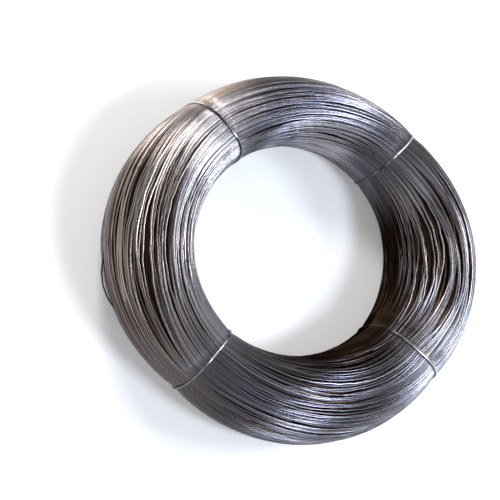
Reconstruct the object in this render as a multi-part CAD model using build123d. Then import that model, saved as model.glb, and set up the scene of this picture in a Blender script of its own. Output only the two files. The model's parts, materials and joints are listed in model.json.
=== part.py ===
"""Coil of steel wire, lying on its end, bound with four tie wires.

The coil is one long wire wound into a thick ring, so its envelope is a turned solid: a tall
rounded section round an open bore. The turns show as ridges, one to a wire, on both ends, on all
the shoulders and on the outer wall. The bore's wall and the land that the coil rests on are plain.
Each tie wire is one closed loop round the section. It pulls the turns in, so it lies in a seat
below the surface, and its two ends are twisted together on the lower outer shoulder.

Frame: millimetres, +Z up along the coil's axis, origin on the floor at the centre of the bore.
"""

import os
from math import atan2, cos, degrees, hypot, radians, sin

from build123d import *

# The wound coil: the wire, the ring that it makes, and the flat stretch of each end
wire_diameter = 3.0
bore_diameter = 345.0
outer_diameter = 594.0
coil_height = 165.0
end_land = 24.0
turn_relief = 0.5

# The tie wires, which pull the coil in unevenly. Each is given by its azimuth in degrees, and by
# how far it lies below the coil's surface on the outer wall and in the bore
tie_diameter = 3.0
tie_places = ((9.9, 4.7, 0.5), (112.0, 6.9, 0.5), (202.3, 0.5, 0.5), (289.8, 14.4, 6.4))
tie_depth_ends = 0.7
seat_clearance = 0.3

# The twisted ends of each tie wire, and where they lie on the lower outer shoulder
twist_length = 26.0
twist_angle = -45.0

# What follows from them
quarter_turn = 90.0
bore_radius = bore_diameter / 2
outer_radius = outer_diameter / 2
tie_radius = tie_diameter / 2
shoulder_radius = (outer_radius - bore_radius - end_land) / 2
shoulder_length = radians(quarter_turn) * shoulder_radius
wall_length = coil_height - 2 * shoulder_radius
inner_corner = bore_radius + shoulder_radius
outer_corner = outer_radius - shoulder_radius
upper_corner = coil_height - shoulder_radius


def shoulder_way(corner_radius, corner_height, first_angle):
    """The way round a shoulder: its point at a share of the way and a depth below the surface."""
    def place(share, depth):
        angle = radians(first_angle + quarter_turn * share)
        reach = shoulder_radius - depth
        return corner_radius + reach * cos(angle), 0, corner_height + reach * sin(angle)

    return place


def straight_way(start, finish):
    """The same for a straight stretch from start to finish, which has its outside on its right."""
    run = (finish[0] - start[0], finish[1] - start[1])
    outward = (run[1] / hypot(*run), -run[0] / hypot(*run))

    def place(share, depth):
        across = start[0] + run[0] * share - outward[0] * depth
        return across, 0, start[1] + run[1] * share - outward[1] * depth

    return place


def turns_along(place, length):
    """A stretch where the turns show: for each wire, the valley before it and then its crest."""
    count = max(1, round(length / wire_diameter))
    ridges = []
    for turn in range(count):
        ridges.append(place(turn / count, turn_relief))
        ridges.append(place((turn + 0.5) / count, 0))
    return ridges


def plain_along(place):
    """A stretch without ridges: its two ends."""
    return [place(0, 0), place(1, 0)]


def coil_section():
    """The coil's section, drawn anticlockwise from the outside of its underside."""
    outer_wall = straight_way((outer_radius, shoulder_radius), (outer_radius, upper_corner))
    upper_end = straight_way((outer_corner, coil_height), (inner_corner, coil_height))
    bore_wall = straight_way((bore_radius, upper_corner), (bore_radius, shoulder_radius))
    underside = straight_way((inner_corner, 0), (outer_corner, 0))
    stretches = (
        turns_along(shoulder_way(outer_corner, shoulder_radius, -quarter_turn), shoulder_length),
        turns_along(outer_wall, wall_length),
        turns_along(shoulder_way(outer_corner, upper_corner, 0), shoulder_length),
        turns_along(upper_end, end_land),
        turns_along(shoulder_way(inner_corner, upper_corner, quarter_turn), shoulder_length),
        plain_along(bore_wall),
        turns_along(shoulder_way(inner_corner, shoulder_radius, 2 * quarter_turn), shoulder_length),
        plain_along(underside),
    )
    points = [point for stretch in stretches for point in stretch]
    return make_face(Polyline(*points, close=True))


def section_plane(across, up):
    """The plane of azimuth 0, seen with the axis on the left, about a point of the section."""
    return Plane(origin=(across, 0, up), x_dir=(1, 0, 0), z_dir=(0, -1, 0))


def loop_box(depth_outside, depth_bore, room):
    """The outline a tie pulls in, and room outside it: left, right, bottom, top, corner radius."""
    sunk = tie_diameter + seat_clearance - room
    left = bore_radius + depth_bore + sunk
    right = outer_radius - depth_outside - sunk
    bottom = tie_depth_ends + sunk
    top = coil_height - tie_depth_ends - sunk
    corner = shoulder_radius - (depth_outside + depth_bore) / 2 - sunk
    return left, right, bottom, top, corner


def loop_face(left, right, bottom, top, corner):
    """That outline as a face in the plane of azimuth 0."""
    outline = RectangleRounded(right - left, top - bottom, corner)
    return section_plane((left + right) / 2, (bottom + top) / 2) * outline


def seat_cutter(depth_outside, depth_bore):
    """What a tie's seat takes out of the coil: a thin wedge about the axis, round the section.

    At the bore's wall it is as wide as the tie wire with its clearance on both sides.
    """
    beyond = shoulder_radius / 2
    around = Rectangle(outer_radius - bore_radius + 2 * beyond, coil_height + 2 * beyond)
    slab = section_plane((bore_radius + outer_radius) / 2, coil_height / 2) * around
    pulled_in = loop_face(*loop_box(depth_outside, depth_bore, 0))
    half_angle = degrees(atan2(tie_radius + seat_clearance, bore_radius))
    return Rot(0, 0, -half_angle) * revolve(slab - pulled_in, Axis.Z, 2 * half_angle)


def rod(start, finish, radius):
    """A round rod from one point to another."""
    run = Vector(*finish) - Vector(*start)
    along = Plane(origin=start, z_dir=run)
    return along * Cylinder(radius, run.length, align=(Align.CENTER, Align.CENTER, Align.MIN))


def tie_wire(depth_outside, depth_bore):
    """A tie wire at azimuth 0: its loop, the ends that rise out of the seat, and their twist."""
    left, right, bottom, top, corner = loop_box(depth_outside, depth_bore, seat_clearance + tie_radius)
    path = loop_face(left, right, bottom, top, corner).face().outer_wire()
    loop = sweep(Plane(origin=path @ 0, z_dir=path % 0) * Circle(tie_radius), path=path)
    outward = (cos(radians(twist_angle)), sin(radians(twist_angle)))
    in_seat = (right - corner + corner * outward[0], 0, bottom + corner + corner * outward[1])
    reach = shoulder_radius + seat_clearance + tie_diameter
    on_shoulder = (outer_corner + reach * outward[0], 0, shoulder_radius + reach * outward[1])
    twist_end = (on_shoulder[0], twist_length, on_shoulder[2])
    ends = rod(in_seat, on_shoulder, tie_radius)
    twist = rod(on_shoulder, twist_end, tie_diameter) + Pos(*on_shoulder) * Sphere(tie_diameter)
    return loop + ends + twist


def main():
    """Make the coil and its tie wires, and write each as its own file."""
    os.makedirs("parts", exist_ok=True)
    coil = revolve(coil_section(), Axis.Z)
    coil -= [Rot(0, 0, azimuth) * seat_cutter(*depths) for azimuth, *depths in tie_places]
    export_step(coil, "parts/wire_coil.step")
    for number, (azimuth, *depths) in enumerate(tie_places, start=1):
        export_step(Rot(0, 0, azimuth) * tie_wire(*depths), f"parts/tie_wire_{number}.step")


main()
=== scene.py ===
"""The looks of a coil of drawn steel wire, bound with four tie wires and lying on its end.

The coil is wound turn on turn into a thick ring. Its surface is made of layers of real strands,
each layer one continuous wire, over a plain dark heart. The strands lie in bundles that spread
between the ties and are pressed together under them.

Lengths are in metres, and angles in radians unless a field says degrees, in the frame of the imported
part: +Z up along the coil's axis, origin on the floor at the centre of the bore. A share is a share
of the way round the coil's section, from the middle of the underside, by the outer wall.
"""

import json
import logging
import math
from dataclasses import dataclass
from enum import Enum

import bmesh
import bpy
import numpy as np
from mathutils import Matrix, Vector


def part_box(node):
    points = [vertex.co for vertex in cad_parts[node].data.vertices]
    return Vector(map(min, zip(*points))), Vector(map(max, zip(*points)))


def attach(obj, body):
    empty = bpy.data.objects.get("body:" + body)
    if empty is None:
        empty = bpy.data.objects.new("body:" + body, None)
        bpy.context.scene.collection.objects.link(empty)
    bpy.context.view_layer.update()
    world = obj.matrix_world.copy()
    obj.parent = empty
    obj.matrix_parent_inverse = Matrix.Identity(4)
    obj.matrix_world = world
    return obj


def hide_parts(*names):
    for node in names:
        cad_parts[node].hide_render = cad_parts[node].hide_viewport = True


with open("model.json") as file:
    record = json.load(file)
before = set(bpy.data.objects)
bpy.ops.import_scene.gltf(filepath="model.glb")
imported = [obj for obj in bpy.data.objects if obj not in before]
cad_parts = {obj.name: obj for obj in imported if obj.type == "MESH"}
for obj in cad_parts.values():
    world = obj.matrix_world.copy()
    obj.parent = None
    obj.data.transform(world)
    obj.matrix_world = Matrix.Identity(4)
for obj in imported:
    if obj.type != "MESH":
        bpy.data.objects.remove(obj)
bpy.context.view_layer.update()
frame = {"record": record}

MM = 0.001
FULL_TURN = 2 * math.pi
STEPS_PER_TURN = 96
WIRE_RADIUS = 1.5 * MM

# How many points follow the section, for its girth, for its angles and for its slip
GIRTH_POINTS = 721
ANGLE_POINTS = 1441
SLIP_POINTS = 1001

# How many waves a turn a wander has where each turn goes its own way, apart from the next one
OWN_WAY = (1.2, 1.8)
OWN_TONE = (1.15, 1.85)

# The map that runs along every wire, and the range that most of a noise lies in
WIRE_MAP = "OFBake"
NOISE_LOW = 0.3
NOISE_HIGH = 0.7

Colour = tuple[float, float, float]
Socket = bpy.types.NodeSocket
Values = np.ndarray

log = logging.getLogger("wire_coil")


# Small tools that every piece uses


@dataclass(frozen=True)
class Sway:
    """A smooth wander along a wire: a sum of waves that never fall back into step."""

    slowest: float  # The fewest waves in a turn
    fastest: float  # The most waves in a turn
    seed: int  # What the waves are drawn from
    waves: int = 5

    def at(self, turn: Values) -> Values:
        """Give the wander at places along the wire.

        Args:
            turn: How many turns of the wire lie before each place.

        Returns:
            The wander at each place, about -1 to 1 most of the time.
        """
        draw = np.random.default_rng(self.seed)
        rates = draw.uniform(self.slowest, self.fastest, self.waves)
        starts = draw.uniform(0, FULL_TURN, self.waves)
        total = sum(np.sin(FULL_TURN * rate * turn + start) for rate, start in zip(rates, starts))
        return total / math.sqrt(self.waves)


@dataclass(frozen=True)
class Swell:
    """A smooth wander over the coil's whole surface, which closes on itself round the ring."""

    across: int  # The most waves round the section
    around: int  # The most waves round the ring
    seed: int  # What the waves are drawn from
    waves: int = 9

    def at(self, share: Values, azimuth: Values) -> Values:
        """Give the wander at places on the surface.

        Args:
            share: The places' shares.
            azimuth: The places' azimuths.

        Returns:
            The wander at each place, about -1 to 1 most of the time.
        """
        draw = np.random.default_rng(self.seed)
        total = np.zeros_like(share)
        for _ in range(self.waves):
            crossings = draw.integers(-self.across, self.across + 1)
            rounds = draw.integers(1, self.around + 1)
            start = draw.uniform(0, FULL_TURN)
            total += np.sin(FULL_TURN * crossings * share + rounds * azimuth + start)
        return total / math.sqrt(self.waves)


def smooth_mix(start: Values, finish: Values, share: Values) -> Values:
    """Give the values between start and finish, level at both ends."""
    eased = share * share * (3 - 2 * share)
    return start + (finish - start) * eased


def signed_power(value: Values, power: float) -> Values:
    """Raise the size of a value to a power, and keep its sign."""
    return np.sign(value) * np.abs(value) ** power


def unit(vectors: Values) -> Values:
    """Scale each vector to a length of one."""
    return vectors / np.linalg.norm(vectors, axis=-1, keepdims=True)


def add_to_scene(name: str, data: bpy.types.ID) -> bpy.types.Object:
    """Put a mesh, a light or a camera in the scene.

    Args:
        name: The new object's name.
        data: The mesh, light or camera.

    Returns:
        The new object.
    """
    thing = bpy.data.objects.new(name, data)
    bpy.context.scene.collection.objects.link(thing)
    return thing


def make_mesh(name: str, shape: bmesh.types.BMesh) -> bpy.types.Mesh:
    """Turn a shape into a mesh.

    Args:
        name: The mesh's name.
        shape: The shape, which is freed.

    Returns:
        The mesh.
    """
    mesh = bpy.data.meshes.new(name)
    shape.to_mesh(mesh)
    shape.free()
    return mesh


def spun_circle(radius: float, sides: int, reach: float, steps: int, rise: float = 0.0) -> bmesh.types.BMesh:
    """Spin an upright circle once round the axis.

    Args:
        radius: The circle's radius.
        sides: How many sides the circle has.
        reach: How far its centre is from the axis.
        steps: How many steps the turn has.
        rise: How far it rises. Without a rise, the turn closes on itself.

    Returns:
        The shape that it sweeps.
    """
    upright = Matrix.Translation((reach, 0, 0)) @ Matrix.Rotation(math.pi / 2, 4, "X")
    shape = bmesh.new()
    bmesh.ops.create_circle(shape, cap_ends=False, radius=radius, segments=sides, matrix=upright)
    bmesh.ops.spin(
        shape, geom=shape.verts[:] + shape.edges[:], cent=(0, 0, 0), axis=(0, 0, 1),
        dvec=(0, 0, rise / steps), angle=FULL_TURN, steps=steps, use_merge=rise == 0,
    )
    return shape


# The coil's outer form


class Measure(Enum):
    """What a tie or a span says of the coil there, by the name of its field."""

    OUTSIDE = "outside"
    BORE = "bore"
    SLIP = "slip"


@dataclass(frozen=True)
class Stance:
    """Where the coil's walls and its turns stand, at a tie or midway to the next one."""

    outside: float  # How far the outer wall stands outside the turned form
    bore: float  # How far the bore's wall stands back from the turned form
    slip: float  # How far the turns have slipped towards the bore, in shares


@dataclass(frozen=True)
class TiePlace(Stance):
    """Where a tie wire crosses the coil, how it lies there, and where a highlight is painted on it."""

    node: str
    azimuth: float  # The tie's azimuth, in degrees
    lean: float  # How far the tie's outer end is drawn round the ring, in degrees
    glint: float  # The share where the tie's painted highlight is brightest
    gleam: float  # How far the painted highlight reaches from there, in shares
    outer_light: float = 0.0  # How much brighter the tie is painted on the coil's outer edge, a painted highlight


@dataclass(frozen=True)
class Span(Stance):
    """The turns from a tie to the next one, by how they lie midway."""

    arched: float  # The share where the turns arch most
    arching: float  # How far they arch towards the bore there, in shares
    openness: float  # How far their bundles come apart: 0 is not at all


@dataclass(frozen=True)
class Stretch:
    """A stretch along the outer turns."""

    start: float  # The azimuth where it begins, in degrees, from the first tie on
    finish: float  # The azimuth where it ends, counted on past 360 if need be
    share: float  # The share of its middle


@dataclass(frozen=True)
class Gap(Stretch):
    """A long gap in the outer turns, which tapers at both ends like a lens."""

    width: float


@dataclass(frozen=True)
class SprungTurn(Stretch):
    """A single outer turn that stands off the coil for a stretch."""

    height: float


@dataclass(frozen=True)
class Patch:
    """A part of the surface where the wire is painted brighter, duller or warmer than elsewhere: painted
    highlight, painted shade and a painted tint of reflections and shade.
    """

    azimuth: float  # The azimuth of its middle, in degrees
    reach: float  # How far it reaches round the ring from there, in degrees
    share: float  # The share of its middle
    breadth: float  # How far it reaches round the section from there, in shares
    painted_brightness: float  # How much brighter the wire is painted there as a highlight, or duller as painted shade if below zero
    warmth: float  # How much warmer its colour is there: a painted tint of reflections and shade

    def strength(self, azimuth: Values, share: Values) -> Values:
        """Give how fully places lie in the patch.

        Args:
            azimuth: The places' azimuths.
            share: The places' shares.

        Returns:
            1 at the patch's middle, falling to 0 outside it.
        """
        round_ring = (np.mod(np.degrees(azimuth) - self.azimuth + 180, 360) - 180) / self.reach
        round_section = (np.mod(share - self.share + 0.5, 1) - 0.5) / self.breadth
        return np.exp(-(round_ring**4) - round_section**2)


@dataclass(frozen=True)
class PaintedBoreShade:
    """Painted shade on the bore's wall, opposite the first tie: the wire there is coloured dark."""

    start: float = 122  # The azimuth where it begins, in degrees
    finish: float = 312  # The azimuth where it ends, in degrees
    rise: float = 40  # How far from its start it is fully dark, in degrees
    fall: float = 52  # How far before its finish it begins to fade, in degrees
    # Azimuths along its edge on the coil's upper end, in degrees
    edge_azimuths: tuple[float, ...] = (165, 185, 212, 236, 300)
    # The share where the edge lies at each of them
    edge_shares: tuple[float, ...] = (0.53, 0.505, 0.525, 0.605, 0.615)
    blur: float = 0.08  # How far inside its edge it is fully dark, in shares

    def strength(self, azimuth: Values, share: Values) -> Values:
        """Give how darkly the painted shade covers places.

        Args:
            azimuth: The places' azimuths.
            share: The places' shares.

        Returns:
            0 outside the painted shade, and 1 where it is fully dark.
        """
        degrees = np.degrees(np.mod(azimuth, FULL_TURN))
        round_ring = np.minimum((degrees - self.start) / self.rise, (self.finish - degrees) / self.fall)
        edge = np.interp(degrees, self.edge_azimuths, self.edge_shares)
        return np.clip(round_ring, 0, 1) * np.clip((np.mod(share, 1) - edge) / self.blur, 0, 1)


@dataclass(frozen=True)
class CoilForm:
    """The coil's outer form: the turned envelope of the frame, pulled in unevenly by the ties."""

    outer_radius: float
    bore_radius: float
    height: float
    ties: tuple[TiePlace, ...]  # The ties, in the order of their azimuths
    spans: tuple[Span, ...]  # The span after each tie
    gaps: tuple[Gap, ...]
    sprung: tuple[SprungTurn, ...]
    patches: tuple[Patch, ...]  # Where painted highlights, painted shade and painted tints make the wire brighter, duller or warmer
    # Painted shade on the bore's wall
    bore_shade: PaintedBoreShade = PaintedBoreShade()
    squareness: float = 2.57  # How square the section is: 2 is an ellipse, more is squarer
    squeeze: float = 3.5 * MM  # How much lower each end of the coil lies under a tie
    swelling: float = 1.2  # How the spans swell: under 1 straight after the tie, over 1 later
    arch_reach: float = 0.1  # How far from a span's arch turns still arch, in shares
    pinch: float = 2.2 * MM  # How deep a tie sinks into the turns
    pinch_reach: float = 9 * MM  # How far beside a tie the turns dip with it

    @property
    def half_width(self) -> float:
        """Half the section's width."""
        return (self.outer_radius - self.bore_radius) / 2

    @property
    def girth(self) -> float:
        """The way round the section."""
        return float(self.steps_round(np.linspace(0, FULL_TURN, GIRTH_POINTS)).sum())

    def steps_round(self, angles: Values) -> Values:
        """Measure the steps between points of the turned section.

        Args:
            angles: The section's own angle at each point.

        Returns:
            The length of each step.
        """
        across = self.half_width * signed_power(np.cos(angles), 2 / self.squareness)
        up = self.height / 2 * signed_power(np.sin(angles), 2 / self.squareness)
        return np.hypot(np.diff(across), np.diff(up))

    def place_in_span(self, azimuth: Values) -> tuple[Values, Values]:
        """Find the span that each azimuth lies in.

        Args:
            azimuth: The places' azimuths.

        Returns:
            The number of the tie before each place, and the share of the span passed.
        """
        tie_azimuths = np.radians([tie.azimuth for tie in self.ties])
        past_first = np.mod(azimuth - tie_azimuths[0], FULL_TURN)
        starts = tie_azimuths - tie_azimuths[0]
        ends = np.append(starts[1:], FULL_TURN)
        number = np.searchsorted(starts, past_first, side="right") - 1
        return number, (past_first - starts[number]) / (ends[number] - starts[number])

    def looseness(self, azimuth: Values) -> Values:
        """Give how free the turns lie: 0 at a tie and 1 midway between two."""
        _, passed = self.place_in_span(azimuth)
        return np.sin(math.pi * passed) ** self.swelling

    def between_ties(self, azimuth: Values, measure: Measure) -> Values:
        """Run a measure of the ties and spans round the ring.

        Args:
            azimuth: The places' azimuths.
            measure: The measure.

        Returns:
            The measure at each place.
        """
        number, passed = self.place_in_span(azimuth)
        at_ties = np.array([getattr(tie, measure.value) for tie in self.ties])
        at_middles = np.array([getattr(span, measure.value) for span in self.spans])
        before = at_ties[number]
        after = at_ties[(number + 1) % len(self.ties)]
        swell = at_middles[number] - (before + after) / 2
        return smooth_mix(before, after, passed) + swell * self.looseness(azimuth)

    def slipped(self, azimuth: Values, share: Values) -> Values:
        """Move turns across the coil, as they slip and arch between the ties.

        Args:
            azimuth: The places' azimuths.
            share: The share that its turn has under the first tie.

        Returns:
            The share that it has at its azimuth.
        """
        number, _ = self.place_in_span(azimuth)
        slipped = share + self.between_ties(azimuth, Measure.SLIP)
        arched = np.array([span.arched for span in self.spans])[number]
        arching = np.array([span.arching for span in self.spans])[number]
        away = (np.mod(slipped - arched + 0.5, 1) - 0.5) / self.arch_reach
        return slipped + arching * np.exp(-(away**2)) * self.looseness(azimuth)

    def openness(self, azimuth: Values) -> Values:
        """Give how far the bundles come apart at each azimuth."""
        number, _ = self.place_in_span(azimuth)
        return np.array([span.openness for span in self.spans])[number] * self.looseness(azimuth)

    def before_slip(self, azimuth: float, share: float) -> float:
        """Give the share that a turn has under the first tie, from a place it passes later."""
        shares = np.linspace(0, 1, SLIP_POINTS)
        return float(np.interp(share, self.slipped(np.full_like(shares, azimuth), shares), shares))

    def tie_azimuth(self, tie: TiePlace, share: Values) -> Values:
        """Give the azimuth of a leaning tie at shares of the way round the section."""
        return math.radians(tie.azimuth) + math.radians(tie.lean) * np.cos(self.section_angle(share))

    def dip(self, azimuth: Values, share: Values) -> Values:
        """Give how deep the turns dip under and beside the ties.

        Args:
            azimuth: The places' azimuths.
            share: The places' shares.

        Returns:
            The dip at each place.
        """
        middle_radius = (self.outer_radius + self.bore_radius) / 2
        total = np.zeros_like(azimuth)
        for tie in self.ties:
            apart = np.mod(azimuth - self.tie_azimuth(tie, share) + math.pi, FULL_TURN) - math.pi
            total += np.exp(-((apart * middle_radius / self.pinch_reach) ** 2))
        return self.pinch * total

    def section_angle(self, share: Values) -> Values:
        """Turn shares of the way round the section into the section's own angles.

        Args:
            share: Shares of the way.

        Returns:
            The angle of each share, with 0 on the outer wall.
        """
        angles = np.linspace(-math.pi / 2, 1.5 * math.pi, ANGLE_POINTS)
        passed = np.insert(np.cumsum(self.steps_round(angles)), 0, 0.0)
        return np.interp(np.mod(share, 1.0), passed / passed[-1], angles)

    def surface(self, azimuth: Values, share: Values, depth: Values) -> tuple[Values, Values]:
        """Find points under the coil's surface.

        Args:
            azimuth: The azimuth of each point.
            share: The share of each point.
            depth: How deep each point lies.

        Returns:
            The points, and the surface's outward directions there.
        """
        outer = self.outer_radius + self.between_ties(azimuth, Measure.OUTSIDE)
        bore = self.bore_radius + self.between_ties(azimuth, Measure.BORE)
        half_width = (outer - bore) / 2
        half_height = self.height / 2 - self.squeeze * (1 - self.looseness(azimuth))
        angle = self.section_angle(share)
        across = signed_power(np.cos(angle), 2 / self.squareness)
        up = signed_power(np.sin(angle), 2 / self.squareness)
        out_across = signed_power(across, self.squareness - 1) / half_width
        out_up = signed_power(up, self.squareness - 1) / half_height
        length = np.hypot(out_across, out_up)
        out_across, out_up = out_across / length, out_up / length
        radius = (outer + bore) / 2 + half_width * across - depth * out_across
        level = self.height / 2 + half_height * up - depth * out_up
        cosine, sine = np.cos(azimuth), np.sin(azimuth)
        points = np.stack([radius * cosine, radius * sine, level], axis=-1)
        outward = np.stack([out_across * cosine, out_across * sine, out_up], axis=-1)
        return points, outward


# The ties and the spans after them, each with its outside, its bore and its slip first
TIES = (
    TiePlace(-5.3 * MM, 1.0 * MM, 0.0, "tie_wire_1", 9.9, lean=2.0, glint=0.53, gleam=0.05, outer_light=0.85),
    TiePlace(-7.5 * MM, 0.9 * MM, -0.03, "tie_wire_2", 112.0, lean=0.6, glint=0.48, gleam=0.1),
    TiePlace(5.5 * MM, -7.0 * MM, -0.11, "tie_wire_3", 202.3, lean=1.2, glint=0.48, gleam=0.2),
    TiePlace(-15.0 * MM, 7.0 * MM, -0.07, "tie_wire_4", 289.8, lean=0.0, glint=0.47, gleam=0.15),
)

SPANS = (
    Span(13.7 * MM, 0.4 * MM, 0.0, arched=0.43, arching=0.035, openness=0.7),
    Span(6.7 * MM, -8.2 * MM, -0.07, arched=0.36, arching=0.03, openness=0.4),
    Span(8.8 * MM, -2.9 * MM, -0.095, arched=0.52, arching=-0.03, openness=0.7),
    Span(-13.1 * MM, 10.7 * MM, -0.02, arched=0.5, arching=0.01, openness=0.15),
)

# The long gaps by start, finish, share and width, span by span, mostly from the bore's side outwards
GAPS = (
    Gap(16, 56, 0.577, 3 * MM), Gap(58, 90, 0.57, 3 * MM), Gap(34, 88, 0.522, 8 * MM),
    Gap(13, 50, 0.502, 4 * MM), Gap(24, 84, 0.485, 7 * MM), Gap(37, 109, 0.447, 10 * MM),
    Gap(54, 102, 0.415, 4 * MM), Gap(15, 68, 0.387, 8 * MM), Gap(80, 110, 0.384, 5 * MM),
    Gap(40, 76, 0.335, 6 * MM),
    Gap(150, 199, 0.575, 4 * MM), Gap(118, 150, 0.555, 3 * MM), Gap(140, 180, 0.53, 3 * MM),
    Gap(150, 184, 0.5, 4 * MM), Gap(144, 184, 0.455, 4 * MM), Gap(117, 142, 0.395, 5 * MM),
    Gap(121, 154, 0.355, 7 * MM),
    Gap(236, 264, 0.605, 6 * MM), Gap(204, 250, 0.583, 7 * MM), Gap(222, 270, 0.555, 8 * MM),
    Gap(208, 276, 0.512, 13 * MM), Gap(210, 238, 0.482, 7 * MM), Gap(226, 285, 0.474, 10 * MM),
    Gap(204, 230, 0.441, 6 * MM), Gap(224, 258, 0.412, 7 * MM), Gap(256, 278, 0.43, 5 * MM),
    Gap(316, 346, 0.66, 5 * MM), Gap(302, 332, 0.635, 4 * MM), Gap(299, 318, 0.6, 3 * MM),
    Gap(296, 326, 0.53, 2.5 * MM), Gap(334, 366, 0.52, 2 * MM), Gap(300, 332, 0.48, 2.5 * MM),
    Gap(324, 364, 0.45, 2 * MM),
)

# The patches of painted light and shade by azimuth, reach, share, breadth, painted brightness and warmth
PATCHES = (
    Patch(20, 14, 0.5, 0.3, 0.1, 0.0), Patch(88, 26, 0.62, 0.08, 0.6, 0.0),
    Patch(40, 60, 0.28, 0.1, -0.1, 0.8), Patch(60, 60, 0.42, 0.12, 0.15, 0.45),
    Patch(58, 24, 0.38, 0.09, 0.3, 0.1), Patch(138, 14, 0.26, 0.06, -0.4, -0.1),
    Patch(284, 10, 0.37, 0.07, -0.5, 0.5), Patch(105, 34, 0.25, 0.07, -0.35, 0.3),
    Patch(247, 30, 0.54, 0.06, 0.65, -0.2), Patch(205, 14, 0.54, 0.05, -0.5, 0.1),
    Patch(230, 14, 0.44, 0.07, -0.2, -0.1), Patch(322, 13, 0.69, 0.1, 0.9, -0.2),
    Patch(314, 12, 0.5, 0.3, 0.2, -0.05), Patch(314, 24, 0.36, 0.06, 0.05, 0.75),
    Patch(278, 26, 0.45, 0.15, 0.0, 0.15), Patch(106, 26, 0.4, 0.13, 0.0, 0.14),
    Patch(192, 20, 0.55, 0.04, 0.0, 0.2), Patch(352, 12, 0.46, 0.06, 0.0, 0.25),
    Patch(300, 9, 0.46, 0.05, -0.3, 0.1), Patch(183, 10, 0.37, 0.06, -0.4, -0.1),
    Patch(37, 10, 0.37, 0.07, -0.3, 0.1), Patch(62, 20, 0.35, 0.05, 0.2, 0.1),
    Patch(217, 8, 0.54, 0.05, -0.35, 0.1), Patch(232, 8, 0.46, 0.05, -0.3, 0.0),
    Patch(137, 20, 0.63, 0.06, 0.05, 0.6), Patch(22, 14, 0.63, 0.07, 0.35, 0.0),
    Patch(248, 30, 0.63, 0.06, 0.35, 0.7), Patch(332, 18, 0.62, 0.05, 0.5, -0.2),
    Patch(350, 14, 0.7, 0.1, -0.4, -0.2), Patch(338, 16, 0.56, 0.1, -0.2, -0.2),
    Patch(215, 26, 0.4, 0.15, 0.18, -0.5), Patch(2, 13, 0.33, 0.06, 0.4, 0.9),
    Patch(344, 12, 0.38, 0.06, -0.3, 0.2), Patch(0, 10, 0.48, 0.12, 0.3, 0.0),
    Patch(130, 20, 0.33, 0.12, -0.35, -0.1), Patch(172, 16, 0.36, 0.14, -0.45, -0.2),
)


# Wires


@dataclass
class WirePath:
    """A wire's way: the centres of its rings and, at each, the direction that its first side faces."""

    centres: Values  # The centre of each ring
    facing: Values  # A direction roughly across the wire at each ring

    def rings(self, radius: float, sides: int) -> Values:
        """Work out the corners of every ring.

        Args:
            radius: The wire's radius.
            sides: How many corners a ring has.

        Returns:
            The corners, ring by ring.
        """
        along = unit(np.gradient(self.centres, axis=0))
        first = unit(self.facing - along * (self.facing * along).sum(-1, keepdims=True))
        second = np.cross(first, along)
        turn = np.arange(sides) * FULL_TURN / sides
        return (
            self.centres[:, None, :]
            + radius * np.cos(turn)[None, :, None] * first[:, None, :]
            - radius * np.sin(turn)[None, :, None] * second[:, None, :]
        )


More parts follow.
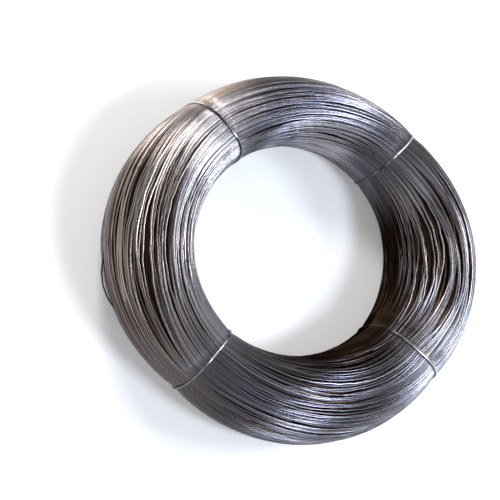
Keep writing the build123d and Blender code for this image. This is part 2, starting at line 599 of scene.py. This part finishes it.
@dataclass
class WireMaker:
    """Makes the mesh of one long wire: one turn spun, set in a row of turns, and laid on its way."""

    name: str
    radius: float
    sides: int  # How many sides the wire has
    steps: int = STEPS_PER_TURN

    def straight_wire(self, turns: int) -> bpy.types.Mesh:
        """Spin a turn, set turns in a row, join them end to end and close the two ends.

        Args:
            turns: How many turns the wire has.

        Returns:
            The mesh of the wire, still a plain helix.
        """
        rise = 4 * self.radius
        one_turn = spun_circle(self.radius, self.sides, 1.0, self.steps, rise)
        turn = add_to_scene(self.name + "_turn", make_mesh(self.name + "_turn", one_turn))
        row = turn.modifiers.new("turns", "ARRAY")
        row.count = turns
        row.use_relative_offset = False
        row.use_constant_offset = True
        row.constant_offset_displace = (0, 0, rise)
        row.use_merge_vertices = True
        row.merge_threshold = self.radius / 20
        evaluated = turn.evaluated_get(bpy.context.evaluated_depsgraph_get())
        mesh = bpy.data.meshes.new_from_object(evaluated)
        mesh.name = self.name
        spare = turn.data
        bpy.data.objects.remove(turn)
        bpy.data.meshes.remove(spare)
        shape = bmesh.new()
        shape.from_mesh(mesh)
        ends = [edge for edge in shape.edges if edge.is_boundary]
        bmesh.ops.holes_fill(shape, edges=ends, sides=self.sides)
        bmesh.ops.recalc_face_normals(shape, faces=shape.faces)
        shape.to_mesh(mesh)
        shape.free()
        return mesh

    def make(self, path: WirePath, turns: int, notes: dict[str, Values]) -> bpy.types.Object:
        """Lay the wire on its way.

        Args:
            path: The way, with one more ring than the turns have steps.
            turns: How many turns the wire has.
            notes: For each named attribute, its value at every ring.

        Returns:
            The finished piece.
        """
        mesh = self.straight_wire(turns)
        corners = path.rings(self.radius, self.sides)
        mesh.vertices.foreach_set("co", corners.reshape(-1))
        for name, values in notes.items():
            attribute = mesh.attributes.new(name, "FLOAT", "POINT")
            attribute.data.foreach_set("value", np.repeat(values, self.sides))
        self.unwrap(mesh, turns)
        mesh.shade_smooth()
        mesh.update()
        return add_to_scene(self.name, mesh)

    def unwrap(self, mesh: bpy.types.Mesh, turns: int) -> None:
        """Give the wire a map that runs along it, with the turns one above the other.

        Args:
            mesh: The wire's mesh.
            turns: How many turns the wire has.
        """
        corner = np.empty(len(mesh.loops), dtype=np.int64)
        mesh.loops.foreach_get("vertex_index", corner)
        starts, sizes = np.empty((2, len(mesh.polygons)), dtype=np.int64)
        mesh.polygons.foreach_get("loop_start", starts)
        mesh.polygons.foreach_get("loop_total", sizes)
        ring, side = corner // self.sides, corner % self.sides
        first_ring = np.repeat(np.minimum.reduceat(ring, starts), sizes)
        breadth = np.maximum.reduceat(side, starts) - np.minimum.reduceat(side, starts)
        wraps = np.repeat(breadth > 1, sizes)
        side = np.where(wraps & (side == 0), self.sides, side)
        turn = np.minimum(first_ring // self.steps, turns - 1)
        along = (ring - turn * self.steps) / self.steps
        up = (turn + side / self.sides) / turns
        layer = mesh.uv_layers.new(name=WIRE_MAP)
        layer.data.foreach_set("uv", np.stack([along, up], axis=-1).astype(np.float32).reshape(-1))


# Finishes


class Spot(Enum):
    """Where a wire lies, which decides its finish."""

    SURFACE = "surface"
    HEART = "heart"
    TIE = "tie"


class MaterialBench:
    """A new material on the bench, where nodes are added and led into its shader."""

    def __init__(self, name: str) -> None:
        """Start a material.

        Args:
            name: The material's name.
        """
        self.material = bpy.data.materials.new(name)
        self.material.use_nodes = True
        self.tree = self.material.node_tree
        self.shader = self.tree.nodes["Principled BSDF"]

    def feed(self, node: bpy.types.Node, sockets: dict[str, object]) -> None:
        """Give a node's sockets their values.

        Args:
            node: The node.
            sockets: Plain values or other nodes' outputs, by socket.
        """
        for name, value in sockets.items():
            if isinstance(value, Socket):
                self.tree.links.new(value, node.inputs[name])
            else:
                node.inputs[name].default_value = value

    def add(self, kind: str, sockets: dict[str, object], **settings: str) -> bpy.types.Node:
        """Add a node.

        Args:
            kind: The node's kind.
            sockets: Plain values or other nodes' outputs, by socket.
            settings: The node's other settings.

        Returns:
            The node.
        """
        node = self.tree.nodes.new("ShaderNode" + kind)
        for setting, value in settings.items():
            setattr(node, setting, value)
        self.feed(node, sockets)
        return node

    def note(self, name: str) -> Socket:
        """Read one of the notes that a wire carries."""
        return self.add("Attribute", {}, attribute_name=name).outputs["Fac"]

    def ramp(self, value: Socket, stops: dict[float, Colour]) -> Socket:
        """Turn a value into a colour.

        Args:
            value: The value.
            stops: The colours, from the lowest value to the highest.

        Returns:
            The colour.
        """
        node = self.add("ValToRGB", {"Fac": value})
        places = sorted(stops)
        elements = node.color_ramp.elements
        elements[0].position, elements[1].position = places[0], places[-1]
        for place in places[1:-1]:
            elements.new(place)
        for element, place in zip(elements, places):
            element.color = (*stops[place], 1)
        return node.outputs["Color"]

    def mix(self, share: Socket, first: Socket | tuple, second: Colour, blend: str = "MIX") -> Socket:
        """Mix a share of a second colour into a first one."""
        sockets = {"Factor": share, "A": first, "B": (*second, 1)}
        return self.add("Mix", sockets, data_type="RGBA", blend_type=blend).outputs["Result"]


@dataclass(frozen=True)
class DrawnSteel:
    """Bright drawn steel wire, with drawing lines, uneven gloss, painted shade on wire that lies deep in the
    coil and painted shade on the bore's wall.
    """

    dull: Colour
    plain: Colour  # The colour of most of the wire
    bright: Colour
    deep: Colour  # The colour of wire that lies deep: painted shade
    bore_shade_colour: Colour  # The colour of the painted shade on the bore's wall
    warm: Colour  # What the colour of the warmest wire is multiplied by
    gloss: float  # The least roughness
    satin: float  # The most roughness
    bore_shade_tint: Colour = (0.16, 0.1, 0.07)  # How much light the wire under the painted shade on the bore's wall throws back where it is seen edge on: painted shade on its reflection
    # How finely the drawing lines lie, along a turn and across all turns
    lines: tuple[float, float] = (14, 900)
    line_detail: float = 3.0  # How much fine detail the lines have
    line_strength: float = 0.03  # How strongly they show as relief
    line_depth: float = 0.1 * MM  # How deep their relief is

    def material(self, name: str) -> bpy.types.Material:
        """Build the finish as a material.

        Args:
            name: The material's name.

        Returns:
            The material.
        """
        bench = MaterialBench(name)
        bore_shade = bench.note("painted_bore_shade")
        colour = bench.ramp(bench.note("tone"), {0.0: self.dull, 0.5: self.plain, 1.0: self.bright})
        colour = bench.mix(bench.note("warmth"), colour, self.warm, "MULTIPLY")
        # Painted shade: wire that lies deep is darkened
        colour = bench.mix(bench.note("depth"), colour, self.deep)
        # Painted shade on the bore's wall, which also dims the wire's reflection there
        colour = bench.mix(bore_shade, colour, self.bore_shade_colour)
        bore_shade_tint = bench.mix(bore_shade, (1, 1, 1, 1), self.bore_shade_tint)

        place = bench.add("UVMap", {}, uv_map=WIRE_MAP)
        stretch = bench.add("Mapping", {"Vector": place.outputs["UV"], "Scale": (*self.lines, 1)})
        noise = {"Vector": stretch.outputs["Vector"], "Scale": 1.0, "Detail": self.line_detail}
        lines = bench.add("TexNoise", noise).outputs["Fac"]
        gloss = bench.add("MapRange", {
            "Value": lines, "From Min": NOISE_LOW, "From Max": NOISE_HIGH,
            "To Min": self.gloss, "To Max": self.satin,
        })
        relief = {"Height": lines, "Strength": self.line_strength, "Distance": self.line_depth}
        bump = bench.add("Bump", relief)
        bench.feed(bench.shader, {
            "Metallic": 1.0, "Base Color": colour, "Specular Tint": bore_shade_tint,
            "Roughness": gloss.outputs["Result"], "Normal": bump.outputs["Normal"],
        })
        return bench.material


@dataclass(frozen=True)
class ShadedSteel:
    """Steel deep inside the coil, coloured dark and mottled as painted shade, where hardly any light comes.
    """

    dark: Colour = (0.02, 0.014, 0.01)
    light: Colour = (0.06, 0.045, 0.035)
    roughness: float = 0.5
    mottle: float = 240.0  # How many mottles there are in a metre

    def material(self, name: str) -> bpy.types.Material:
        """Build the finish as a material.

        Args:
            name: The material's name.

        Returns:
            The material.
        """
        bench = MaterialBench(name)
        place = bench.add("TexCoord", {}).outputs["Object"]
        mottle = bench.add("TexNoise", {"Vector": place, "Scale": self.mottle}).outputs["Fac"]
        colour = bench.ramp(mottle, {NOISE_LOW: self.dark, NOISE_HIGH: self.light})
        bench.feed(bench.shader, {"Metallic": 1.0, "Roughness": self.roughness, "Base Color": colour})
        return bench.material


@dataclass(frozen=True)
class PaleFloor:
    """A plain pale studio floor, which glows a little like a light table."""

    colour: Colour = (0.9, 0.9, 0.9)
    roughness: float = 0.9
    glow: float = 0.22

    def material(self, name: str) -> bpy.types.Material:
        """Build the finish as a material.

        Args:
            name: The material's name.

        Returns:
            The material.
        """
        bench = MaterialBench(name)
        colour = (*self.colour, 1)
        bench.feed(bench.shader, {
            "Base Color": colour, "Roughness": self.roughness,
            "Emission Color": colour, "Emission Strength": self.glow,
        })
        return bench.material


FINISHES: dict[Spot, DrawnSteel | ShadedSteel] = {
    Spot.SURFACE: DrawnSteel(
        dull=(0.08, 0.074, 0.082), plain=(0.19, 0.188, 0.222), bright=(0.52, 0.515, 0.575),
        deep=(0.09, 0.057, 0.04), bore_shade_colour=(0.024, 0.014, 0.0095), warm=(1.3, 1.06, 0.78),
        gloss=0.17, satin=0.26,
    ),
    Spot.HEART: ShadedSteel(),
    Spot.TIE: DrawnSteel(
        dull=(0.05, 0.045, 0.045), plain=(0.26, 0.25, 0.26), bright=(0.7, 0.69, 0.71),
        deep=(0.05, 0.04, 0.04), bore_shade_colour=(0.1, 0.09, 0.08), warm=(1.0, 1.0, 1.0), gloss=0.15, satin=0.3,
    ),
}


# The coil


@dataclass(frozen=True)
class TurnLooks:
    """How the looks of the turns vary, from 0 to 1."""

    tone: float = 0.5  # The tone of most turns: 0 is dull and 1 is bright
    pressed: float = 0.12  # How far single turns differ in tone where they are pressed together
    open: float = 0.28  # How much further they differ where the bundles come apart
    tone_drift: float = 0.1  # How far the tone drifts over the coil
    warmth: float = 0.15  # How far single turns differ in warmth
    warmth_drift: float = 0.12  # How far the warmth drifts over the coil
    shade_start: float = 0.5 * MM  # How deep a turn lies before painted shade darkens it
    shade_reach: float = 6 * MM  # How much deeper it lies where the painted shade is darkest
    shade_fray: float = 0.03  # How raggedly the painted shade on the bore's wall ends from turn to turn, in shares


@dataclass
class WoundLayer:
    """One layer of the coil: a single wire wound round and round, from the underside outwards."""

    name: str
    form: CoilForm
    seed: int  # What the wander is drawn from
    turns: int
    depth: float  # How deep the layer lies under a tie
    sag: float  # How much deeper it lies midway between ties
    bundles: int  # How many bundles the layer falls into, round the section
    gape: float  # How wide the coil's gaps are in this layer, as a share of their width
    outermost: bool = False  # Whether the turns that stand off the coil are in this layer
    sheaves: int = 50  # How many small sheaves the bundles are made of, round the section
    crowd: float = 0.4  # How tightly the turns crowd into their bundles and sheaves
    crown: float = 3 * MM  # How much lower a bundle's edges lie than its middle
    drift: float = 0.7  # How far the bundles wander across the coil, in bundles
    heave: float = 1.4 * MM  # How much higher or lower some bundles lie
    stray: float = 2 * MM  # How far a few turns wander across the coil
    lift: float = 0.8 * MM  # How far single turns rise or sink
    jostle: float = 0.9 * MM  # How far each turn is pushed aside by its neighbours
    held: float = 0.25  # The share of that push that is left under a tie
    parting: float = 0.55  # How far the bundles part on the whole: 1 is fully
    uneven: float = 0.6  # How much more or less they part in places
    sheaf_parting: float = 0.3  # How far the sheaves part even where the bundles are closed
    bank: float = 4 * MM  # How far beside a narrow gap turns are pushed
    bank_growth: float = 1.6  # How much further for each width of the gap
    slump: float = 0.3  # How much deeper a gap's banks lie, as a share of its width
    slump_reach: float = 0.7  # How far beside it, as a share of how far turns are pushed
    wire_radius: float = WIRE_RADIUS
    sides: int = 6
    looks: TurnLooks = TurnLooks()

    def passing(self, place: Stretch, turn: Values) -> tuple[Values, Values]:
        """Follow the wire past a gap or a sprung turn.

        Args:
            place: The gap or the sprung turn.
            turn: How many turns of the wire lie before each ring.

        Returns:
            How many turns each ring lies past the middle of the place, and how far along the place
            it lies: 0 at both ends and 1 midway.
        """
        first = self.form.ties[0].azimuth / 360
        number = np.floor(turn - first)
        degrees = 360 * (turn - number)
        middle = (place.start + place.finish) / 2
        home = self.form.before_slip(math.radians(middle), place.share) * self.turns
        past = number + 0.5 - round(home - middle / 360 + 0.5)
        passed = np.clip((degrees - place.start) / (place.finish - place.start), 0, 1)
        return past, np.sin(math.pi * passed)

    def parted(self, turn: Values) -> tuple[Values, Values]:
        """Push the turns aside at the coil's gaps.

        Args:
            turn: How many turns of the wire lie before each ring.

        Returns:
            How far each ring is pushed across the coil, and how much deeper the gap's banks lie.
        """
        spacing = self.form.girth / self.turns
        aside, sunk = np.zeros_like(turn), np.zeros_like(turn)
        for gap in self.form.gaps:
            past, opened = self.passing(gap, turn)
            width = self.gape * gap.width * opened
            reach = self.bank + self.bank_growth * gap.width
            aside += np.sign(past) * width / 2 * np.exp(-np.abs(past) * spacing / reach)
            sunk += self.slump * width * np.exp(-((past * spacing / (self.slump_reach * reach)) ** 2))
        return aside, sunk

    def sprung(self, turn: Values) -> Values:
        """Find where the wire stands off the coil.

        Args:
            turn: How many turns of the wire lie before each ring.

        Returns:
            How far each ring stands off.
        """
        height = np.zeros_like(turn)
        for place in self.form.sprung:
            past, along = self.passing(place, turn)
            height += np.where((past > 0) & (past < 1), place.height * along, 0)
        return height

    def lay(self) -> tuple[WirePath, dict[str, Values]]:
        """Work out the wire's way round the coil.

        Returns:
            The way, and the wire's looks at each of its rings.
        """
        turn = np.arange(self.turns * STEPS_PER_TURN + 1) / STEPS_PER_TURN
        azimuth = FULL_TURN * turn
        share = turn / self.turns
        loose, openness = self.form.looseness(azimuth), self.form.openness(azimuth)

        drift = self.drift * Swell(3, 7, self.seed).at(share, azimuth)
        phase = FULL_TURN * (self.bundles * share + drift)
        parting = self.parting + self.uneven * Swell(self.bundles // 2, 8, self.seed + 5).at(share, azimuth)
        opening = np.clip(parting, 0, 1) * openness
        gather = self.crowd * opening * np.sin(phase) / (FULL_TURN * self.bundles)
        fine_phase = FULL_TURN * (self.sheaves * share + 2 * Swell(8, 6, self.seed + 9).at(share, azimuth))
        fine_opening = self.sheaf_parting * loose + openness
        gather += self.crowd * fine_opening * np.sin(fine_phase) / (FULL_TURN * self.sheaves)
        stray = self.stray * loose * Sway(0.6, 2.6, self.seed + 1).at(turn) ** 3
        push = self.held + (1 - self.held) * loose
        stray += self.jostle * push * Sway(*OWN_WAY, self.seed + 10).at(turn)
        aside, sunk = self.parted(turn)
        place = self.form.slipped(azimuth, share - gather + (stray + aside) / self.form.girth)

        valley = opening * (1 - np.cos(phase)) / 2
        heave = self.heave * Swell(9, 6, self.seed + 2).at(share, azimuth)
        lift = self.lift * Sway(*OWN_WAY, self.seed + 3).at(turn)
        under = self.depth + loose * (self.sag + lift) + openness * heave + self.crown * valley + sunk
        under = np.maximum(under, -self.wire_radius / 2)
        if self.outermost:
            under -= self.sprung(turn)
        depth = self.wire_radius + under + self.form.dip(azimuth, place)
        points, outward = self.form.surface(azimuth, place, depth)
        points[:, 2] = np.maximum(points[:, 2], self.wire_radius)
        return WirePath(points, outward), self.shade(turn, place, under)

    def shade(self, turn: Values, place: Values, under: Values) -> dict[str, Values]:
        """Give the wire its looks, ring by ring, painted light and shade among them.

        Args:
            turn: How many turns of the wire lie before each ring.
            place: The share of each ring.
            under: How deep each ring lies.

        Returns:
            The tone and warmth, with the patches' painted light and shade in them, the painted shade of depth
            and the painted shade on the bore's wall of each ring, from 0 to 1.
        """
        azimuth, share, looks = FULL_TURN * turn, turn / self.turns, self.looks
        variety = looks.pressed + looks.open * self.form.openness(azimuth)
        tone = looks.tone + variety * Sway(*OWN_TONE, self.seed + 4).at(turn)
        tone += looks.tone_drift * Swell(12, 5, self.seed + 6).at(share, azimuth)
        warmth = looks.warmth * Sway(*OWN_WAY, self.seed + 7).at(turn)
        warmth += looks.warmth_drift * Swell(9, 4, self.seed + 8).at(share, azimuth)
        # Painted highlights, painted shade and painted tints, patch by patch
        for patch in self.form.patches:
            strength = patch.strength(azimuth, place)
            tone += patch.painted_brightness * strength
            warmth += patch.warmth * strength
        frayed = place + looks.shade_fray * Sway(*OWN_WAY, self.seed + 12).at(turn)
        return {
            "tone": np.clip(tone, 0, 1),
            "warmth": np.clip(warmth, 0, 1),
            # Painted shade: the deeper a turn lies, the darker it is coloured
            "depth": np.clip((under - looks.shade_start) / looks.shade_reach, 0, 1),
            # Painted shade on the bore's wall
            "painted_bore_shade": self.form.bore_shade.strength(azimuth, frayed),
        }

    def build(self) -> bpy.types.Object:
        """Make the layer's wire."""
        path, notes = self.lay()
        return WireMaker(self.name, self.wire_radius, self.sides).make(path, self.turns, notes)


@dataclass
class CoilHeart:
    """The plain heart under the strands, which closes the coil where they part."""

    name: str
    form: CoilForm
    depth: float  # How deep its surface lies under a tie
    sag: float  # How much deeper it lies midway between ties
    sides: int = 48

    def build(self) -> bpy.types.Object:
        """Spin the heart's section round the axis and pull it in as the ties do.

        Returns:
            The finished piece.
        """
        reach = (self.form.outer_radius + self.form.bore_radius) / 2
        shape = spun_circle(self.form.half_width / 2, self.sides, reach, STEPS_PER_TURN)
        bmesh.ops.recalc_face_normals(shape, faces=shape.faces)
        mesh = make_mesh(self.name, shape)
        spots = np.empty(len(mesh.vertices) * 3)
        mesh.vertices.foreach_get("co", spots)
        spots = spots.reshape(-1, 3)
        azimuth = np.arctan2(spots[:, 1], spots[:, 0])
        across = np.hypot(spots[:, 0], spots[:, 1]) - reach
        share = np.mod(np.arctan2(spots[:, 2], across) / FULL_TURN + 0.25, 1.0)
        under = self.depth + self.sag * self.form.looseness(azimuth)
        points, _ = self.form.surface(azimuth, share, under)
        mesh.vertices.foreach_set("co", points.reshape(-1))
        mesh.shade_smooth()
        mesh.update()
        return add_to_scene(self.name, mesh)


@dataclass
class WireCoil:
    """The wound coil: its layers of wire over its heart."""

    form: CoilForm
    node: str = "wire_coil"

    def layers(self) -> list[WoundLayer]:
        """List the coil's layers.

        Returns:
            The layers, from the outermost in.
        """
        return [
            WoundLayer(
                "outer_turns", self.form, seed=11, turns=150, depth=0.0, sag=0.0, bundles=24, gape=1.0,
                outermost=True, sheaves=47, crowd=0.45, crown=2.2 * MM, drift=0.6, stray=1.8 * MM,
            ),
            WoundLayer(
                "middle_turns", self.form, seed=37, turns=150, depth=2.5 * MM, sag=3 * MM, bundles=28,
                gape=0.5,
            ),
            WoundLayer(
                "inner_turns", self.form, seed=59, turns=140, depth=5 * MM, sag=6 * MM, bundles=31,
                gape=0.2, heave=1 * MM, lift=0.6 * MM,
            ),
        ]

    def build(self) -> list[bpy.types.Object]:
        """Make and dress the coil's pieces.

        Returns:
            The finished pieces.
        """
        surface = FINISHES[Spot.SURFACE].material("drawn_steel")
        heart_finish = FINISHES[Spot.HEART].material("shaded_steel")
        pieces = []
        for layer in self.layers():
            piece = layer.build()
            piece.data.materials.append(surface)
            pieces.append(piece)
        heart = CoilHeart("coil_heart", self.form, depth=8 * MM, sag=12 * MM).build()
        # The heart's dark finish is painted shade
        heart.data.materials.append(heart_finish)
        pieces.append(heart)
        for piece in pieces:
            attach(piece, "root")
            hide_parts(self.node)
            log.info("%s: %d faces", piece.name, len(piece.data.polygons))
        return pieces


@dataclass
class TieWire:
    """A tie: one wire round the section, with its two ends twisted together."""

    place: TiePlace  # Where the tie crosses the coil
    form: CoilForm
    wire_radius: float = WIRE_RADIUS
    root_share: float = 0.1  # The share where the ends meet
    perch: float = 1.4  # How far its middle lies above the bottom of its dip, in wire radii
    root_perch: float = 0.4  # How far the twist's root lies above the coil's surface, in wire radii
    twist_length: float = 26 * MM
    twist_turns: float = 3.0
    loop_rings: int = 260
    twist_rings: int = 40  # How many rings each twisted end has
    easings: int = 3  # How many times its bends are eased
    sides: int = 8  # How many sides the wire has
    tone: float = 0.1  # The tone of the wire where no highlight is painted
    shine: float = 0.75  # How much brighter the painted highlight makes it where it is brightest
    flicker: float = 0.08  # How far its tone flickers along it
    edge_share: float = 0.44  # The share where the coil's outer edge begins
    edge_blur: float = 0.05  # How far the painted highlight there takes to reach full strength

    def lay(self) -> WirePath:
        """Work out the tie's way: down one strand of the twist, round the coil, and back up.

        Returns:
            The way.
        """
        form, radius = self.form, self.wire_radius
        azimuth = math.radians(self.place.azimuth)
        gap = 2 * radius / form.girth
        share = self.root_share + np.linspace(gap, 1 - gap, self.loop_rings)
        depth = np.full_like(share, form.pinch - self.perch * radius)
        loop, outward = form.surface(form.tie_azimuth(self.place, share), share, depth)
        root_depth = np.array([-self.root_perch * radius])
        roots, roots_out = form.surface(np.array([azimuth]), np.array([self.root_share]), root_depth)
        root, root_out = roots[0], roots_out[0]
        along = np.array([-math.sin(azimuth), math.cos(azimuth), 0.0])
        across = np.cross(along, root_out)
        if np.dot(loop[0] - loop[-1], across) < 0:
            across = -across
        passed = np.linspace(0, 1, self.twist_rings)
        turn = FULL_TURN * self.twist_turns * passed
        spread = radius * (np.cos(turn)[:, None] * across + np.sin(turn)[:, None] * root_out)
        line = root + along * (passed[:, None] * self.twist_length + 2 * radius) + root_out * radius
        centres = np.concatenate([(line + spread)[::-1], loop, line - spread])
        twist_out = np.tile(root_out, (self.twist_rings, 1))
        for _ in range(self.easings):
            centres[1:-1] = (centres[:-2] + 2 * centres[1:-1] + centres[2:]) / 4
        return WirePath(centres, np.concatenate([twist_out, outward, twist_out]))

    def build(self) -> bpy.types.Object:
        """Make the tie and note its tone along it.

        Returns:
            The finished piece.
        """
        path, place = self.lay(), self.place
        rings = len(path.centres)
        loop_ends = (self.twist_rings, rings - self.twist_rings - 1)
        share = np.interp(np.arange(rings), loop_ends, (self.root_share, 1 + self.root_share))
        azimuth = np.full_like(share, math.radians(place.azimuth))
        # Painted highlight: the tie's tone is raised round its glint and on the coil's outer edge
        glow = np.exp(-(((share - place.glint) / place.gleam) ** 2))
        outer = place.outer_light * np.clip((self.edge_share - share) / self.edge_blur, 0, 1)
        flicker = Sway(12, 30, int(place.azimuth)).at(share)
        tone = self.tone + self.shine * glow + outer + self.flicker * flicker
        # The tie takes the painted shade on the bore's wall too
        notes = {"tone": np.clip(tone, 0, 1), "painted_bore_shade": self.form.bore_shade.strength(azimuth, share)}
        maker = WireMaker(place.node + "_bright", self.wire_radius, self.sides, steps=rings - 1)
        piece = maker.make(path, 1, notes)
        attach(piece, "root")
        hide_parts(self.place.node)
        log.info("%s: %d faces", piece.name, len(piece.data.polygons))
        return piece


# The studio


@dataclass(frozen=True)
class StudioCamera:
    """The camera: it looks down at the middle of the coil and is rolled about its line of sight."""

    elevation: float = 67.95  # How far above the level it stands, in degrees
    roll: float = 64.85  # How far it is rolled, in degrees
    distance: float = 2.96  # How far it is from the middle of the coil
    lens: float = 133.1  # Its focal length, in millimetres
    # How far the picture is shifted across and up, in widths of the picture
    shift: tuple[float, float] = (-0.0867, 0.0087)

    def place(self, aim: Vector) -> None:
        """Put the camera in the scene.

        Args:
            aim: The point that it is aimed at.
        """
        tilt = math.radians(90 - self.elevation)
        turned = Matrix.Rotation(math.pi, 4, "Z") @ Matrix.Rotation(tilt, 4, "X")
        rolled = turned @ Matrix.Rotation(math.radians(self.roll), 4, "Z")
        back = rolled.to_3x3() @ Vector((0, 0, self.distance))
        data = bpy.data.cameras.new("camera")
        data.lens = self.lens
        data.shift_x, data.shift_y = self.shift
        camera = add_to_scene("camera", data)
        camera.matrix_world = Matrix.Translation(aim + back) @ rolled
        bpy.context.scene.camera = camera


@dataclass(frozen=True)
class Softbox:
    """A large soft light, aimed at the coil."""

    name: str
    azimuth: float  # The side that it stands on, in degrees
    elevation: float  # How high it stands, in degrees
    distance: float  # How far it is from the coil
    size: tuple[float, float]
    power: float
    colour: Colour = (1.0, 1.0, 1.0)

    def place(self, aim: Vector) -> None:
        """Put the light in the scene.

        Args:
            aim: The point that it is aimed at.
        """
        azimuth, elevation = math.radians(self.azimuth), math.radians(self.elevation)
        level = math.cos(elevation)
        toward = Vector((level * math.cos(azimuth), level * math.sin(azimuth), math.sin(elevation)))
        data = bpy.data.lights.new(self.name, "AREA")
        data.shape = "RECTANGLE"
        data.size, data.size_y = self.size
        data.energy = self.power
        data.color = self.colour
        facing = toward.to_track_quat("Z", "Y").to_matrix().to_4x4()
        light = add_to_scene(self.name, data)
        light.matrix_world = Matrix.Translation(aim + toward * self.distance) @ facing


@dataclass(frozen=True)
class Studio:
    """The studio: its floor, its soft lights and the dim even light of the room."""

    floor_size: float = 12.0
    room_light: float = 0.4  # How strong the room's light is
    lights: tuple[Softbox, ...] = (
        Softbox("right_light", -122, 46, 2.4, (0.55, 0.55), 27, (0.82, 0.91, 1.0)),
        Softbox("low_light", -108, 28, 2.4, (0.7, 0.7), 21),
        Softbox("left_light", -4, 42, 2.4, (0.55, 0.55), 26, (1.0, 0.98, 0.95)),
        Softbox("top_light", -163, 60, 2.4, (0.5, 0.5), 32, (0.76, 0.84, 1.0)),
    )

    def build(self, aim: Vector) -> None:
        """Lay the floor, place the lights and light the room.

        Args:
            aim: The point that the lights are aimed at.
        """
        shape = bmesh.new()
        bmesh.ops.create_grid(shape, x_segments=1, y_segments=1, size=self.floor_size / 2)
        mesh = make_mesh("floor", shape)
        mesh.materials.append(PaleFloor().material("pale_floor"))
        floor = add_to_scene("floor", mesh)
        for light in self.lights:
            light.place(aim)
        world = bpy.data.worlds.new("room")
        bpy.context.scene.world = world
        world.use_nodes = True
        background = world.node_tree.nodes["Background"]
        background.inputs["Color"].default_value = (1, 1, 1, 1)
        background.inputs["Strength"].default_value = self.room_light
        bpy.context.scene.view_settings.view_transform = "Standard"


def main() -> None:
    """Build the studio, the coil and its ties."""
    logging.basicConfig(level=logging.INFO, format="%(name)s: %(message)s")
    low, high = (Vector(corner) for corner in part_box("wire_coil"))
    aim = Vector((0, 0, (low.z + high.z) / 2))
    StudioCamera().place(aim)
    Studio().build(aim)

    bore = next(mount for mount in frame["record"]["mounts"] if mount["name"] == "bore")
    form = CoilForm(
        outer_radius=(high.x - low.x) / 2,
        bore_radius=bore["dims"]["r_mm"] * MM,
        height=high.z - low.z,
        ties=TIES,
        spans=SPANS,
        gaps=GAPS,
        sprung=(SprungTurn(66, 83, 0.215, 8 * MM),),
        patches=PATCHES,
    )
    WireCoil(form).build()
    tie_finish = FINISHES[Spot.TIE].material("tie_steel")
    for place in form.ties:
        TieWire(place, form).build().data.materials.append(tie_finish)


if __name__ == "__main__":
    main()
